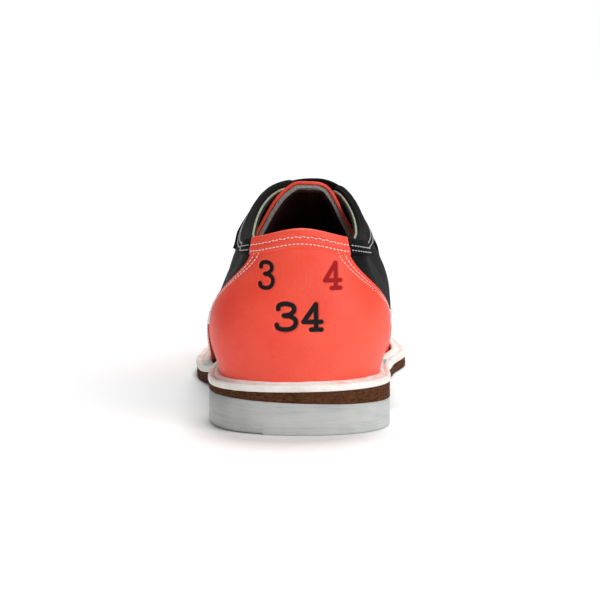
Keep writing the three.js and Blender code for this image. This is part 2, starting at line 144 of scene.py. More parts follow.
whole_way = np.linspace(-TOE, TOE, 801)
sole_x, sole_y = outline(whole_way, ring(whole_way)[..., 8])
sole_low, sole_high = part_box("leather_sole")
ORIGIN = np.array([
    (sole_low.x + sole_high.x) / 2 / MM - (sole_x.min() + sole_x.max()) / 2,
    (sole_low.y + sole_high.y) / 2 / MM - (sole_y.min() + sole_y.max()) / 2,
    0,
])


def in_frame(points):
    return (np.asarray(points) + ORIGIN) * MM


# Heel block: pale grey moulded rubber, ground to shape on a wheel that leaves fine level lines,
# and worn to a rounded edge on the outer side.
def linear(colour):
    """A linear colour from an ordinary hexadecimal one."""
    shares = [int(colour[i : i + 2], 16) / 255 for i in (0, 2, 4)]
    return tuple(s / 12.92 if s < 0.04 else ((s + 0.055) / 1.055) ** 2.4 for s in shares) + (1,)


class Value:
    """An output in a material's node tree, which arithmetic turns into Math nodes."""

    def __init__(self, finish, socket):
        self.finish = finish
        self.socket = socket

    def math(self, operation, *values):
        return self.finish.node("Math", {"operation": operation}, dict(enumerate(values)))

    def __add__(self, other):
        return self.math("ADD", self, other)

    def __rsub__(self, other):
        return self.math("SUBTRACT", other, self)

    def __mul__(self, other):
        return self.math("MULTIPLY", self, other)

    __radd__ = __add__
    __rmul__ = __mul__

    def between(self, low, high):
        """0 below low, 1 above high, and smooth in between."""
        inputs = {"Value": self, "From Min": low, "From Max": high}
        return self.finish.node("MapRange", {"interpolation_type": "SMOOTHSTEP"}, inputs)


class Finish:
    """A material under construction: its node tree, and the shader that everything feeds."""

    def __init__(self, name, roughness=0.5, **constants):
        self.material = bpy.data.materials.new(name)
        self.material.use_nodes = True
        self.tree = self.material.node_tree
        self.shader = self.tree.nodes["Principled BSDF"]
        self.set(Roughness=roughness, **constants)
        self.place = self.node("TexCoord", out="Object")

    def connect(self, socket, value):
        if isinstance(value, Value):
            self.tree.links.new(value.socket, socket)
        else:
            socket.default_value = value

    def set(self, **inputs):
        for name, value in inputs.items():
            self.connect(self.shader.inputs[name.replace("_", " ")], value)

    def node(self, kind, settings=None, inputs=None, out=0):
        made = self.tree.nodes.new("ShaderNode" + kind)
        for name, value in (settings or {}).items():
            setattr(made, name, value)
        for name, value in (inputs or {}).items():
            self.connect(made.inputs[name], value)
        return Value(self, made.outputs[out])

    def noise(self, size, detail=3, roughness=0.5, place=None):
        """Noise with features of about that size in metres."""
        return self.node("TexNoise", {}, {"Vector": place or self.place, "Scale": 1 / size,
                                          "Detail": detail, "Roughness": roughness})

    def cells(self, size, feature="F1"):
        return self.node("TexVoronoi", {"feature": feature}, {"Vector": self.place, "Scale": 1 / size})

    def mix(self, factor, first, second):
        return self.node("Mix", {"data_type": "RGBA"}, {0: factor, 6: first, 7: second}, out=2)

    def stretched(self, x, y, z):
        """The piece's own coordinates, scaled along each axis, for a grain that runs one way."""
        return self.node("VectorMath", {"operation": "MULTIPLY"}, {0: self.place, 1: (x, y, z)})

    def bump(self, height, depth):
        self.set(Normal=self.node("Bump", {}, {"Strength": 1.0, "Distance": depth, "Height": height}))


def built(name, bm, finish, body, *nodes, slot=None):
    """Puts a finished bmesh into the scene, riding on its body in place of its CAD nodes."""
    mesh = bpy.data.meshes.new(name)
    bm.to_mesh(mesh)
    bm.free()
    mesh.shade_smooth()
    mesh.materials.append(finish)
    piece = bpy.data.objects.new(name, mesh)
    bpy.context.scene.collection.objects.link(piece)
    if body:
        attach(piece, body)
    if nodes:
        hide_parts(*nodes)
    return piece


heel_finish = Finish("heel_rubber", 0.62)
streak = heel_finish.noise(0.0008, 4, 0.7, heel_finish.stretched(0.05, 0.05, 1))
cloud = heel_finish.noise(0.014, 3)
grit = heel_finish.noise(0.0004, 2)
heel_tone = heel_finish.mix(cloud.between(0.3, 0.7), linear("babdbc"), linear("c9cac7"))
heel_tone = heel_finish.mix(streak.between(0.45, 0.7) * 0.45, heel_tone, linear("979b9a"))
heel_finish.set(Base_Color=heel_tone, Roughness=0.55 + streak * 0.2)
heel_finish.bump(streak * 0.8 + grit * 0.3, 0.00012)

HEEL_FRONT = 57
HEEL_CLEARANCE = 0.1
TILT = 0.035
ROUND_STEPS = 128
FRONT_STEPS = 12
WORN_SIDE = heel_foot.x - 0.012
heel_station = np.interp(HEEL_FRONT, ring(np.linspace(0, 4, 200))[..., 1], np.linspace(0, 4, 200))
bm = bmesh.new()
bmesh.ops.create_circle(bm, cap_ends=True, segments=ROUND_STEPS + FRONT_STEPS, radius=1)
bm.verts.ensure_lookup_table()
round_stations = np.linspace(-heel_station, heel_station, ROUND_STEPS)
heel_x, heel_y = outline(round_stations, ring(round_stations)[..., 8] - HEEL_CLEARANCE)
front_x = np.linspace(heel_x[-1], heel_x[0], FRONT_STEPS + 2)[1:-1]
rim = np.concatenate([
    np.stack([heel_x, np.minimum(heel_y, HEEL_FRONT)], -1),
    np.stack([front_x, np.full(FRONT_STEPS, HEEL_FRONT)], -1),
])
for vertex, (x, y) in zip(bm.verts, rim):
    vertex.co = in_frame((x, y, 0))
bmesh.ops.recalc_face_normals(bm, faces=bm.faces)
raised = bmesh.ops.extrude_face_region(bm, geom=bm.faces[:])
top_verts = [v for v in raised["geom"] if isinstance(v, bmesh.types.BMVert)]
for vertex in top_verts:
    vertex.co.z = (HEEL_LIFT - HEEL_CLEARANCE) * MM - TILT * (vertex.co.x - heel_foot.x)
bmesh.ops.recalc_face_normals(bm, faces=bm.faces)
for is_worn, width, segments in ((False, 0.0006, 3), (True, 0.0022, 5)):
    edges = [e for e in bm.edges
             if all(v.co.z < 1e-6 for v in e.verts) and any(f.normal.z > -0.9 for f in e.link_faces)
             and (sum(v.co.x for v in e.verts) / 2 < WORN_SIDE) == is_worn]
    bmesh.ops.bevel(bm, geom=edges, offset=width, segments=segments, profile=0.5, affect="EDGES",
                    material=-1)
built("heel_block", bm, heel_finish.material, "shoe", "heel_block", slot="heel_rubber")


# Outsole: one thickness of brown leather between the heel and the welt. Its edge is left raw, so it
# shows as matted fibre.
SOLE = 3.5
SOLE_GAP = 0.15
RAW_DEPTH = 0.1
RAW_SIZE = 1.6


def ripple(points, size, seed):
    """Smooth unevenness between about -1 and 1, from a few waves of about that size."""
    dice = np.random.default_rng(seed)
    waves = dice.normal(size=(9, 3)) * 2 * math.pi / size / 1.7
    return np.sin(points @ waves.T + dice.uniform(0, 6.28, 9)).sum(-1) / 3.5


def lay(bm, place):
    """Moves a flat grid's vertices to place(u, v), and keeps u and v, in metres, as its UV map."""
    flat = np.array([v.co[:2] for v in bm.verts]) + 0.5
    spots = place(*flat.T)
    middle = np.full(60, 0.5)
    run = np.linspace(0, 1, 60)
    lengths = [np.linalg.norm(np.diff(place(*pair), axis=0), axis=1).sum()
               for pair in ((run, middle), (middle, run))]
    uv = bm.loops.layers.uv.new("UVMap")
    for face in bm.faces:
        for loop in face.loops:
            across, along = flat[loop.vert.index]
            loop[uv].uv = (across * lengths[0], along * lengths[1])
    for vertex, spot in zip(bm.verts, spots):
        vertex.co = spot


def slab(columns, side_rows, across_rows, margin, low, high):
    """A flat-lying layer as a tube of cross-sections from heel to toe: top, side, underside, side."""
    rows = 2 * (side_rows + across_rows)
    turns = np.cumsum([0, across_rows, side_rows, across_rows, side_rows]) / rows
    bm = bmesh.new()
    bmesh.ops.create_grid(bm, x_segments=columns, y_segments=rows, size=0.5)

    def place(u, v):
        station = TOE * u
        share = np.interp(v, turns, [0, 1, 1, 0, 0])
        level = np.interp(v, turns, [1, 1, 0, 0, 1])
        near_x, near_y = outline(station, margin(station))
        far_x, far_y = outline(-station, margin(-station))
        x, y = blend(near_x, far_x, share), blend(near_y, far_y, share)
        return in_frame(np.stack([x, y, blend(low(x, y), high(x, y), level)], -1))

    bm.verts.index_update()
    lay(bm, place)
    bmesh.ops.remove_doubles(bm, verts=bm.verts, dist=2e-6)
    bmesh.ops.recalc_face_normals(bm, faces=bm.faces)
    return bm


def wedge(x, y):
    """The heel leather is pared thinner on the outer side, and leans with the heel block."""
    return TILT * (x + ORIGIN[0] - heel_foot.x / MM) * (1 - smooth(y, 50, 80))


def roughened(bm, amount, size, seed):
    """Pushes the upright sides in and out a little, as raw fibre."""
    bm.normal_update()
    points = np.array([v.co for v in bm.verts]) / MM
    waves = ripple(points * (1, 1, 2.5), size, seed) + 0.6 * ripple(points, size / 2.7, seed + 1)
    for vertex, wave in zip(bm.verts, waves):
        level = Vector((vertex.normal.x, vertex.normal.y, 0))
        if level.length > 0.5:
            vertex.co += level.normalized() * float(wave) * amount * MM


sole_finish = Finish("sole_leather", 0.9, Specular_IOR_Level=0.2)
fibre = sole_finish.noise(0.0006, 5, 0.7, sole_finish.stretched(0.35, 0.35, 1))
patch = sole_finish.noise(0.006, 3, 0.6)
fleck = sole_finish.cells(0.0007)
sole_tone = sole_finish.mix(fibre.between(0.3, 0.7), linear("2c150a"), linear("6b3f22"))
sole_tone = sole_finish.mix(patch.between(0.45, 0.7) * 0.6, sole_tone, linear("55331f"))
sole_tone = sole_finish.mix(fleck.between(0.0, 0.35) * -0.25 + 0.25, sole_tone, linear("9c7450"))
sole_finish.set(Base_Color=sole_tone)
sole_finish.bump(fibre + fleck * 0.4, 0.0004)


def sole_margin(station):
    return ring(station)[..., 8]


bm = slab(420, 12, 16, lambda s: sole_margin(s) - SOLE_GAP,
          lambda x, y: sole_line(y) - wedge(x, y), lambda x, y: sole_line(y) + SOLE + wedge(x, y) / 2)
roughened(bm, RAW_DEPTH, RAW_SIZE, 4)
built("leather_sole", bm, sole_finish.material, "shoe", "leather_sole", slot="sole_leather")

# Welt: a white moulded strip stitched round the upper. It has a rounded outer edge, a groove that
# holds the thread, and a lip that stands up against the leather.
WELT_PROFILE = np.array([
    [0.0, 0.2], [0.5, 0.2], [0.95, 0.2], [1.0, 0.5], [1.02, 1.1], [1.01, 1.8], [0.97, 2.3], [0.9, 2.55],
    [0.8, 2.6], [0.7, 2.55], [0.62, 2.3], [0.56, 2.1], [0.5, 2.25], [0.44, 2.6], [0.36, 3.0],
    [0.24, 3.3], [0.1, 3.45], [0.0, 3.3], [-0.08, 2.8], [-0.08, 1.2], [0.0, 0.2],
])
WELT_INSIDE = 4.5
WELT_OVERHANG = 0.15
WELT_GROOVE = 11 / 20


def welt_place(station, turn):
    """A point of the welt: turn runs from 0 to 1 round its section."""
    index = turn * (len(WELT_PROFILE) - 1)
    share = np.interp(index, np.arange(len(WELT_PROFILE)), WELT_PROFILE[:, 0])
    height = np.interp(index, np.arange(len(WELT_PROFILE)), WELT_PROFILE[:, 1])
    wobble = 0.08 * np.sin(station * 9) * np.sin(station * 4.3 + 1)
    outside = sole_margin(station) + WELT_OVERHANG + wobble * 0.5
    x, y = outline(station, blend(WELT_INSIDE, outside, share))
    floor = sole_line(y) + SOLE + wedge(x, y) / 2
    return in_frame(np.stack([x, y, floor + height * (1 + wobble * 0.3)], -1))


welt_finish = Finish("welt_rubber", 0.5)
smudge = welt_finish.noise(0.011, 4, 0.6)
speck = welt_finish.noise(0.0012, 3, 0.7)
welt_tone = welt_finish.mix(smudge.between(0.35, 0.75), linear("f8f3ee"), linear("e3dbd2"))
welt_tone = welt_finish.mix(speck.between(0.62, 0.8) * 0.5, welt_tone, linear("b9b2a8"))
scratch = welt_finish.noise(0.0007, 4, 0.7, welt_finish.stretched(0.12, 0.12, 1))
welt_tone = welt_finish.mix(scratch.between(0.52, 0.72) * 0.4, welt_tone, linear("b7aa9d"))
height = welt_finish.node("SeparateXYZ", {}, {0: welt_finish.place}, out=2)
depth = welt_finish.node("SeparateXYZ", {}, {0: welt_finish.place}, out=1)
bleed = (height.between(0.0162, 0.0176) * welt_finish.noise(0.006, 2).between(0.45, 0.62)
         * (1 - depth.between(-0.10, -0.06)))
welt_tone = welt_finish.mix(bleed * 0.55, welt_tone, linear("f2a79b"))
welt_finish.set(Base_Color=welt_tone, Roughness=0.42 + smudge * 0.25)
welt_finish.bump(speck + smudge + scratch, 0.0002)

bm = bmesh.new()
bmesh.ops.create_grid(bm, x_segments=560, y_segments=48, size=0.5)
bm.verts.index_update()
lay(bm, lambda u, v: welt_place(blend(-TOE, TOE, u), v))
bmesh.ops.remove_doubles(bm, verts=bm.verts, dist=2e-6)
bmesh.ops.recalc_face_normals(bm, faces=bm.faces)
built("welt", bm, welt_finish.material, "shoe", "welt", slot="welt_rubber")


# Thread: waxed stitches, each a short bead that dips into its holes. It is pale on the coral leather,
# white in the welt's groove and on the stripes, and grey on the black webbing.
def stitches(bm, points, normals, pitch=1.35, length=1.1, radius=0.2, sink=0.05):
    """Adds a row of stitches along a line of points that lie on a surface."""
    points, normals = np.asarray(points), np.asarray(normals)
    steps = np.linalg.norm(np.diff(points, axis=0), axis=1)
    run = np.concatenate([[0], np.cumsum(steps)])
    count = max(1, int(run[-1] / (pitch * MM)))
    for k in range(count):
        middle = (k + 0.5) * run[-1] / count
        ends = (middle - length * MM / 2, middle + length * MM / 2)
        first, spot, second = (np.array([np.interp(at, run, points[:, i]) for i in range(3)])
                               for at in (ends[0], middle, ends[1]))
        out = Vector([np.interp(middle, run, normals[:, i]) for i in range(3)]).normalized()
        along = Vector(second - first).normalized()
        side = along.cross(out).normalized()
        out = side.cross(along)
        turn = Matrix((out * radius * MM, side * radius * MM, along * length * MM * 0.52))
        centre = Vector(spot) + out * (radius - 2 * sink) * MM
        matrix = Matrix.Translation(centre) @ turn.transposed().to_4x4()
        bmesh.ops.create_uvsphere(bm, u_segments=6, v_segments=5, radius=1, matrix=matrix)


def thread_finish(name, light, dark):
    finish = Finish(name, 0.6, Sheen_Weight=0.2)
    twist = finish.noise(0.0003, 2)
    finish.set(Base_Color=finish.mix(twist.between(0.3, 0.7), linear(dark), linear(light)))
    finish.bump(twist, 0.00006)
    return finish.material


pale_thread = thread_finish("pale_thread", "f6dcd6", "e0b8ae")
white_thread = thread_finish("white_thread", "efece6", "c9c4bb")
grey_thread = thread_finish("grey_thread", "c6c6cc", "8f8f96")

bm = bmesh.new()
way = np.linspace(-TOE, TOE, 1200)
groove = welt_place(way, np.full_like(way, WELT_GROOVE))
stitches(bm, groove, np.tile([0, 0, 1.0], (len(way), 1)), pitch=2.6, length=2.1, radius=0.24)
built("welt_stitches", bm, white_thread, "shoe", slot="welt_rubber")


# Inside: dark cloth linings, and a grey felt sock over the insole board. The board, the filler, the
# shank and the nails are closed in, and keep their plain shapes.
def cloth_finish(name, light, dark, thread, roughness=0.9, depth=0.00012):
    """Plain weave that follows the piece: two families of threads, over and under."""
    finish = Finish(name, roughness, IOR=1.2)
    cloth = finish.node("UVMap", {"uv_map": "UVMap"})
    warp = finish.node("TexWave", {"bands_direction": "X"},
                       {"Vector": cloth, "Scale": 0.314 / thread, "Distortion": 0.3})
    weft = finish.node("TexWave", {"bands_direction": "Y"},
                       {"Vector": cloth, "Scale": 0.314 / thread, "Distortion": 0.3})
    weave = warp * weft
    mottle = finish.noise(0.009, 4, 0.6)
    lint = finish.noise(0.0009, 3, 0.7)
    tone = finish.mix(weave * 0.6 + mottle * 0.4, linear(dark), linear(light))
    tone = finish.mix(lint.between(0.66, 0.8) * 0.35, tone, linear("8d8d90"))
    finish.set(Base_Color=tone)
    finish.bump(weave + mottle * 0.4, depth)
    return finish


lining_finish = cloth_finish("lining_cloth", "37302f", "181414", 0.0007)
felt_finish = Finish("felt", 0.95, Sheen_Weight=0.4, Sheen_Roughness=0.6)
hair = felt_finish.noise(0.0007, 6, 0.75)
tuft = felt_finish.noise(0.005, 3)
felt_tone = felt_finish.mix(hair.between(0.3, 0.7), linear("6f6763"), linear("b5aaa2"))
felt_finish.set(Base_Color=felt_finish.mix(tuft.between(0.4, 0.7) * 0.4, felt_tone, linear("8d847e")))
felt_finish.bump(hair, 0.0004)
board_finish = Finish("fibre_board", 0.85)
pulp = board_finish.noise(0.0012, 5, 0.7)
board_finish.set(Base_Color=board_finish.mix(pulp.between(0.3, 0.7), linear("8c7350"), linear("bfa680")))
board_finish.bump(pulp, 0.0002)
steel_finish = Finish("steel", 0.35, Metallic=1.0)
brushed = steel_finish.noise(0.0008, 4, 0.6, steel_finish.stretched(1, 0.1, 1))
steel_finish.set(Base_Color=steel_finish.mix(brushed, linear("8a8c8f"), linear("b9bbbd")),
                 Roughness=0.3 + brushed * 0.25)
steel_finish.bump(brushed, 0.00003)

kept = {
    steel_finish: ["shank"] + [f"heel_nail_{k}" for k in range(1, 6)],
    board_finish: ["insole_board", "bottom_filler", "counter_stiffener", "toe_puff"],
    lining_finish: ["vamp_lining"],
}
for finish, names in kept.items():
    for name in names:
        node = frame["nodes"][name]
        node.data.materials.clear()
        node.data.materials.append(finish.material)
        uv = node.data.uv_layers.new(name="UVMap")
        for loop, spot in zip(node.data.loops, uv.data):
            x, y, z = node.data.vertices[loop.vertex_index].co
            spot.uv = (x, y + z)

BOARD_TOP = 8.2
SOCK = 2.2
SOCK_INSET = 0.4


def sock_top(x, y):
    return sole_line(y) + BOARD_TOP + SOCK + 0.25 * ripple(np.stack([x, y, 0 * x], -1), 30, 8)


bm = slab(220, 4, 24, lambda s: np.full_like(s, -SOCK_INSET), lambda x, y: sole_line(y) + BOARD_TOP,
          sock_top)
built("sock_liner", bm, felt_finish.material, "shoe", "sock_liner", slot="felt")

LINING = 0.7
LINING_END = 6.12


def last(station, rise):
    station, rise = np.broadcast_arrays(np.asarray(station, float), np.asarray(rise, float))
    station, rise = np.where(rise > 1, -station, station), np.where(rise > 1, 2 - rise, rise)
    row = ring(station)
    edge_x, edge_y, swell, full, top_x, top_y, top_z = (row[..., k] for k in range(7))
    angle = np.clip(rise, 0, 1) ** (full / 2) * math.pi / 2
    height = np.sin(angle) ** (2 / full)
    swell_top = blend(0.6, 0.9, smooth(edge_y, 55, 95))
    bulge = 1 + swell * np.sin(math.pi * np.minimum(height / swell_top, 1)) ** 2
    reach = np.cos(angle) ** (2 / full) * bulge
    seat = sole_line(edge_y) + SEAT
    return np.stack([blend(top_x, edge_x, reach), blend(top_y, edge_y, reach),
                     blend(seat, top_z, height)], -1)


def outward(station, rise):
    """The direction that stands straight out of the last, level where the upper meets the sole."""
    station, rise = np.broadcast_arrays(np.asarray(station, float), np.asarray(rise, float))
    step = 0.02
    along = last(station + step, rise) - last(station - step, rise)
    along[rise > 1] *= -1
    rising = last(station, rise + step) - last(station, np.maximum(rise - step, 0))
    out = np.cross(along, rising)
    out /= np.maximum(np.linalg.norm(out, axis=-1, keepdims=True), 1e-9)
    base = np.minimum(rise, 2 - rise)
    pole = (base > 0.96) & (np.abs(np.abs(station) - TOE) < 0.06)
    out[pole] = (0, 0.24, 0.97)
    out[..., 2] *= smooth(base, 0, 0.15)
    return out / np.linalg.norm(out, axis=-1, keepdims=True)


def rise_at_height(station, height):
    row = ring(station)
    seat = sole_line(row[..., 1]) + SEAT
    share = np.clip((height - seat) / (row[..., 6] - seat), 0, 1)
    return (np.arcsin(share ** (row[..., 3] / 2)) * 2 / math.pi) ** (2 / row[..., 3])


def rise_at_reach(station, share):
    full = ring(station)[..., 3]
    return (np.arccos(np.clip(share, 0, 1) ** (full / 2)) * 2 / math.pi) ** (2 / full)


def rise_at_width(station, width):
    row = ring(station)
    return rise_at_reach(station, width / np.hypot(row[..., 4] - row[..., 0], row[..., 5] - row[..., 1]))


def top_rise(station):
    """The upper's top edge: the topline, running in a bend into the throat's edge."""
    topline = rise_at_height(station, ring(station)[..., 7])
    throat = rise_at_width(station, 7)
    overlap = np.maximum(0, 1 - np.abs(topline - throat) / 0.12)
    return np.minimum(topline, throat) - overlap**2 * 0.12 / 4


def rise_of(length, station, rise):
    """How much rise a length in millimetres takes up at a place."""
    step = 0.02
    return length * step / np.linalg.norm(last(station, rise) - last(station, rise - step), axis=-1)


def on_last(station, rise, offset):
    """A point at an offset from the last, in the frame's metres."""
    base = last(station, rise)
    place = base + outward(station, rise) * np.asarray(offset)[..., None]
    fade = 1 - np.minimum(rise, 1)
    place[..., 2] += (sole_line(place[..., 1]) - sole_line(base[..., 1])) * fade
    return in_frame(place)


def draped(columns, rows, place, thickness, edge=0.25, refine=None):
    """A sheet laid over the last: its outer face follows place(u, v) and its edges are rounded."""
    bm = bmesh.new()
    bmesh.ops.create_grid(bm, x_segments=columns, y_segments=rows, size=0.5)
    if refine:
        refine(bm)
    bm.verts.index_update()
    lay(bm, place)
    bmesh.ops.remove_doubles(bm, verts=bm.verts, dist=1e-6)
    return bm, thickness, edge


def made(name, sheet, finish, body, *nodes, slot=None):
    """Builds a draped sheet with its thickness and its rounded edges."""
    bm, thickness, edge = sheet
    piece = built(name, bm, finish, body, *nodes, slot=slot)
    wall = piece.modifiers.new("wall", "SOLIDIFY")
    wall.thickness = thickness * MM
    wall.offset = -1
    wall.use_quality_normals = True
    rounding = piece.modifiers.new("rounding", "BEVEL")
    rounding.width = edge * MM
    rounding.segments = 2
    rounding.limit_method = "ANGLE"
    rounding.angle_limit = math.radians(50)
    return piece


def lining(u, v):
    station = blend(-LINING_END, LINING_END, u)
    return on_last(station, blend(0, top_rise(station), v), np.full_like(u, LINING))


made("quarter_lining", draped(360, 60, lining, LINING), lining_finish.material, "shoe", "quarter_lining",
     slot="lining_cloth")

# Quarters: the black sides of the shoe, two pieces of coated leather with a fine grain that meet
# in a seam at the back of the heel.
black_finish = Finish("black_upper", 0.6, IOR=1.2)
pore = black_finish.cells(0.0009, "SMOOTH_F1")
crumple = black_finish.noise(0.012, 4, 0.6)
dust = black_finish.noise(0.0008, 4, 0.75)
black_tone = black_finish.mix(crumple.between(0.3, 0.7), linear("080708"), linear("110f10"))
black_tone = black_finish.mix(dust.between(0.66, 0.85) * 0.3, black_tone, linear("57565a"))
black_finish.set(Base_Color=black_tone, Roughness=0.55 + crumple * 0.2)
black_finish.bump(pore * 0.5 + crumple * 0.5, 0.0003)

LEATHER = 3.3
QUARTER_WALL = 1.6
VAMP_STATION = 6.45
VAMP_SWEEP = 0.25
SEAM_GAP = 0.01
VAMP_COVER = 0.02


def vamp_line(v):
    return VAMP_STATION - VAMP_SWEEP * np.sin(v * math.pi / 2)


def soft_leather(station, rise, offset, seed, amount=0.18, size=22):
    """A place on a leather piece, with the slight unevenness of worn leather."""
    flat = last(station, rise)
    return on_last(station, rise, offset + amount * ripple(flat, size, seed))


for name, ends in (("medial", lambda v: (SEAM_GAP, vamp_line(v) + VAMP_COVER)),
                   ("lateral", lambda v: (-vamp_line(v) - VAMP_COVER, -SEAM_GAP))):
    def quarter(u, v, ends=ends):
        first, second = ends(v)
        station = blend(first, second, u)
        return soft_leather(station, blend(0, top_rise(station), v), LEATHER, 11)

    made(f"quarter_{name}", draped(220, 70, quarter, QUARTER_WALL), black_finish.material, "shoe",
         f"quarter_{name}", slot="black_upper")

# Heel foxing: a coral leather cover over the back of both quarters, held by a double row of pale
# stitching down each side. The shoe's sizes are stamped into it in black and dark red.
OVERLAY = 4.5
FOXING_WALL = 1.1
FOXING_LOW = 3.35
FOXING_TOP = {1: 1.02, -1: 1.13}
SEAM_ROWS = (1.7, 3.5)
SEAM_WIDTH = 0.55
SEAM_DEPTH = 0.22
THREAD_SEAT = 0.2


def coral_finish(name, stamped=False):
    finish = Finish(name, 0.45, Specular_IOR_Level=0.3)
    grain = finish.cells(0.0007, "SMOOTH_F1")
    wrinkle_and_shade = finish.noise(0.0035, 4, 0.65, finish.stretched(0.6, 0.6, 1.3))
    cloud = finish.noise(0.03, 3, 0.5)
    scuff = finish.noise(0.0012, 5, 0.8, finish.stretched(0.4, 1, 1))
    tone = finish.mix(cloud.between(0.3, 0.7), linear("ee4431"), linear("f65b45"))
    # painted shade: where the wrinkle noise is high the coral is darkened towards e53728, as shade in the
    # creases of the leather
    tone = finish.mix(wrinkle_and_shade.between(0.55, 0.8) * 0.35, tone, linear("e53728"))
    tone = finish.mix(scuff.between(0.68, 0.8) * 0.25, tone, linear("ff9c8a"))
    rough = 0.42 + wrinkle_and_shade * 0.12 + scuff.between(0.6, 0.8) * 0.2
    if stamped:
        for attribute, colour in (("black_ink", "060405"), ("red_ink", "9c0610")):
            ink = finish.node("Attribute", {"attribute_name": attribute}, out="Fac")
            worn_ink = ink * (1 - scuff.between(0.6, 0.8) * 0.15)
            tone = finish.mix(worn_ink, tone, linear(colour))
            rough = rough + ink * 0.3
    finish.set(Base_Color=tone, Roughness=rough)
    finish.bump(grain * 0.35 + wrinkle_and_shade * 0.5, 0.00028)
    return finish.material


stamped_coral = coral_finish("coral_leather_stamped", True)
coral = coral_finish("coral_leather")


def foxing_edge(v, side):
    return blend(FOXING_LOW, FOXING_TOP[side], smooth(v, 0.22, 0.92))


def catmull(points, steps=10):
    """A smooth line through a few given points."""
    points = np.array(points, float)
    padded = np.vstack([2 * points[0] - points[1], points, 2 * points[-1] - points[-2]])
    t = np.linspace(0, 1, steps, endpoint=False)[:, None]
    line = [0.5 * (2 * b + (c - a) * t + (2 * a - 5 * b + 4 * c - d) * t**2
                   + (3 * b - a - 3 * c + d) * t**3)
            for a, b, c, d in zip(padded, padded[1:], padded[2:], padded[3:])]
    return np.vstack(line + [points[-1:]])


THREE = [catmull([(0.10, 0.80), (0.17, 0.94), (0.50, 1.0), (0.87, 0.92), (0.93, 0.73), (0.70, 0.58),
                  (0.40, 0.54), (0.74, 0.51), (1.0, 0.38), (1.0, 0.18), (0.77, 0.03), (0.40, 0.0),
                  (0.10, 0.06), (0.03, 0.18)])]
FOUR = [np.array([(0.02, 0.30), (0.70, 0.98)]), np.array([(0.70, 0.98), (0.72, 0.04)]),
        np.array([(0.02, 0.30), (1.0, 0.30)]), np.array([(0.44, 0.0), (1.0, 0.0)])]
# Each digit: its strokes, the place of its lower left corner from the heel's middle and the floor,
# its width and height, half the width of its stroke, and its ink.
DIGITS = [
    (THREE, (-13.0, 48.3), (4.2, 8.1), 0.7, "black_ink"),
    (FOUR, (8.2, 48.3), (5.1, 8.1), 0.72, "red_ink"),
    (THREE, (-7.55, 35.1), (6.2, 8.3), 0.84, "black_ink"),
    (FOUR, (1.2, 35.1), (5.9, 8.3), 0.84, "black_ink"),
]
PRESS = 0.25


def stroke_distance(points, strokes, corner, size):
    """How far each point, as x and z in millimetres, lies from a digit's strokes."""
    nearest = np.full(len(points), 99.0)
    for line in strokes:
        line = line * size + np.array(corner)
        for start, end in zip(line, line[1:]):
            run = end - start
            share = np.clip(((points - start) @ run) / (run @ run), 0, 1)
            away = np.linalg.norm(points - start - share[:, None] * run, axis=1)
            nearest = np.minimum(nearest, away)
    return nearest


def ink_masks(spots):
    shown = (spots / MM - (heel_foot.x / MM, 0, 0))[:, [0, 2]]
    masks = {"black_ink": np.zeros(len(spots)), "red_ink": np.zeros(len(spots))}
    press = np.zeros(len(spots))
    for strokes, corner, size, stroke, ink in DIGITS:
        away = stroke_distance(shown, strokes, corner, size)
        masks[ink] = np.maximum(masks[ink], 1 - smooth(away, stroke - 0.12, stroke + 0.08))
        press = np.maximum(press, 1 - smooth(away, stroke - 0.05, stroke + 0.4))
    return masks, press


def seam_press(station, rise, v):
    """How deep the double stitching pulls the leather in along the foxing's sides."""
    side = np.where(station > 0, 1, -1)
    edge = np.where(side > 0, foxing_edge(v, 1), foxing_edge(v, -1))
    step = np.linalg.norm(last(station + 0.02, rise) - last(station - 0.02, rise), axis=-1) / 0.04
    inside = (edge - np.abs(station)) * step
    return sum(np.exp(-(((inside - row) / SEAM_WIDTH) ** 2)) for row in SEAM_ROWS)


def foxing(u, v):
    station = blend(-foxing_edge(v, -1), foxing_edge(v, 1), u)
    rise = blend(0, top_rise(station), v)
    flat = last(station, rise)
    crease = 0.16 * ripple(flat * (0.5, 0.5, 1.6), 16, 23) * smooth(flat[..., 2], 44, 60)
    offset = OVERLAY + 0.2 * ripple(flat, 26, 21) + crease - SEAM_DEPTH * seam_press(station, rise, v)
    return on_last(station, rise, offset)


def stamped_foxing(u, v):
    masks, press = ink_masks(foxing(u, v))
    station = blend(-foxing_edge(v, -1), foxing_edge(v, 1), u)
    rise = blend(0, top_rise(station), v)
    return foxing(u, v) - outward(station, rise) * (PRESS * MM * press)[:, None]


def finer_by_digits(bm):
    """Splits the faces near the digits, so that the stamping has crisp edges."""
    flat = np.array([v.co[:2] for v in bm.verts]) + 0.5
    shown = (foxing(*flat.T) / MM - (heel_foot.x / MM, 0, 0))[:, [0, 2]]
    near = np.zeros(len(flat), bool)
    for _, (x, z), (width, height), _, _ in DIGITS:
        near |= ((shown[:, 0] > x - 1.5) & (shown[:, 0] < x + width + 1.5)
                 & (shown[:, 1] > z - 1.5) & (shown[:, 1] < z + height + 1.5))
    edges = [e for e in bm.edges if near[e.verts[0].index] and near[e.verts[1].index]]
    bmesh.ops.subdivide_edges(bm, edges=edges, cuts=2, use_grid_fill=True)


sheet = draped(210, 90, stamped_foxing, FOXING_WALL, 0.3, refine=finer_by_digits)
spots = np.array([v.co for v in sheet[0].verts])
masks, _ = ink_masks(spots)
foxing_piece = made("heel_foxing", sheet, stamped_coral, "shoe", "heel_foxing", slot="coral_leather")
for ink, values in masks.items():
    foxing_piece.data.attributes.new(ink, "FLOAT", "POINT").data.foreach_set("value", values)

def last_line(station, rise, offset):
    """Points and outward directions along a line on the last."""
    station, rise = np.broadcast_arrays(np.asarray(station, float), np.asarray(rise, float))
    return on_last(station, rise, offset), outward(station, rise)


